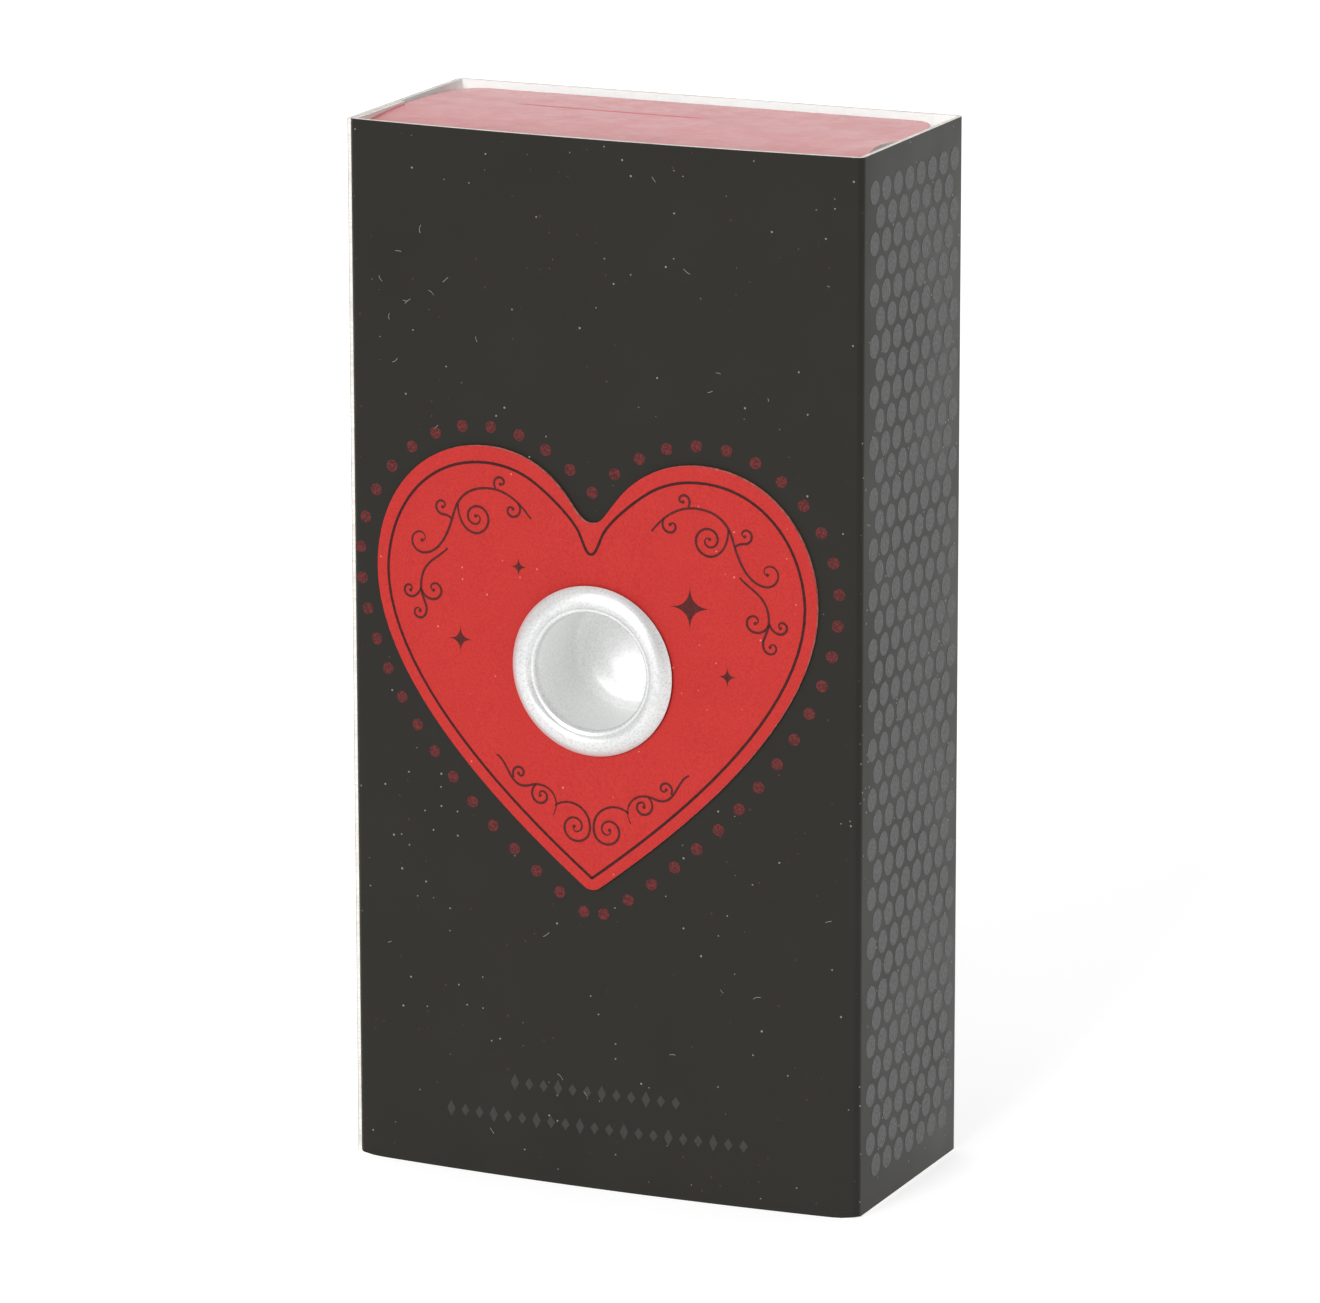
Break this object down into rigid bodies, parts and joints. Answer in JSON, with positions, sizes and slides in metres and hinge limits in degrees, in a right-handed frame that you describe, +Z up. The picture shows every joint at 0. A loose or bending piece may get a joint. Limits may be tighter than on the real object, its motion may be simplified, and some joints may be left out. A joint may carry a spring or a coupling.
{
  "type": "wind-up music box",
  "caption": "Slip-cased wind-up music box: raised card heart round a turned metal winding cup, with a comb movement inside a flap-topped carton.",
  "frame": {"origin": "on the surface the box stands on, in the middle of the slip-case's footprint, where the inner carton's bottom panel lies", "axes": "+X to the right seen from the front, +Y from the heart to the back panel, +Z up the box"},
  "size_m": [0.06, 0.031, 0.116],
  "materials": {
    "black_board": "satin varnished print",
    "red_card": "matte laminated",
    "carton_red": "semi-gloss print",
    "grey_board": "raw",
    "satin_aluminium": "bead-blasted satin",
    "cast_zinc": "as cast",
    "brass": "satin",
    "steel": "bright",
    "spring_steel": "blued",
    "black_plastic": "matte"
  },
  "bodies": {
    "case": {"sleeve": "black_board", "heart_panel": "red_card", "inner_carton": "carton_red", "mounting_board": "grey_board", "cup_bush": "black_plastic", "arbor_bush": "brass", "click_spring": "spring_steel", "click_screw": "steel", "bedplate": "cast_zinc", "lower_bearing": "brass", "governor_frame": "brass", "governor_plate": "brass", "comb": "spring_steel", "bearing_screw": "steel", "governor_plate_screw": "steel", "plate_screw_1": "steel", "plate_screw_2": "steel", "plate_screw_3": "steel", "comb_screw_1": "steel", "comb_screw_2": "steel", "governor_screw_1": "steel", "governor_screw_2": "steel"},
    "winding": {"winding_cup": "satin_aluminium", "ratchet_wheel": "steel"},
    "barrel": {"spring_barrel": "brass", "barrel_cap": "brass", "mainspring": "spring_steel"},
    "pinned_cylinder": {"cylinder": "brass", "cylinder_arbor": "steel", "cylinder_pinion": "steel", "cylinder_wheel": "brass"},
    "idler": {"idler_arbor": "steel", "idler_pinion": "steel", "worm_wheel": "black_plastic"},
    "governor": {"worm": "steel", "fly": "black_plastic"},
    "click": {"click": "steel"},
    "flap": {"top_flap": "carton_red"}
  },
  "joints": [
    {"name": "winding_cup_turn", "type": "hinge", "parent": "case", "child": "winding", "pos_m": [-0.0004, -0.017, 0.0583], "axis": [0, 1, 0], "continuous": true},
    {"name": "barrel_turn", "type": "hinge", "parent": "case", "child": "barrel", "pos_m": [-0.0004, 0, 0.0583], "axis": [0, 1, 0], "continuous": true},
    {"name": "cylinder_turn", "type": "hinge", "parent": "case", "child": "pinned_cylinder", "pos_m": [-0.0004, 0.0037, 0.0883], "axis": [0, 0, 1], "continuous": true},
    {"name": "idler_turn", "type": "hinge", "parent": "case", "child": "idler", "pos_m": [0.0068, 0.0037, 0.1068], "axis": [0, 0, 1], "continuous": true},
    {"name": "governor_turn", "type": "hinge", "parent": "case", "child": "governor", "pos_m": [0.0112, 0, 0.1098], "axis": [0, 1, 0], "continuous": true},
    {"name": "click_rock", "type": "hinge", "parent": "case", "child": "click", "pos_m": [0.00752, 0.0082, 0.06042], "axis": [0, -1, 0], "range_deg": [0, 12], "stiffness_Nm_per_rad": 0.001, "springref_deg": -11.46},
    {"name": "top_flap_fold", "type": "hinge", "parent": "case", "child": "flap", "pos_m": [0, -0.0129, 0.11498], "axis": [1, 0, 0], "range_deg": [0, 100]}
  ],
  "couplings": [
    {"joint": "cylinder_turn", "follows": "barrel_turn", "ratio": 3.3333},
    {"joint": "idler_turn", "follows": "barrel_turn", "ratio": -10},
    {"joint": "governor_turn", "follows": "barrel_turn", "ratio": 160}
  ]
}
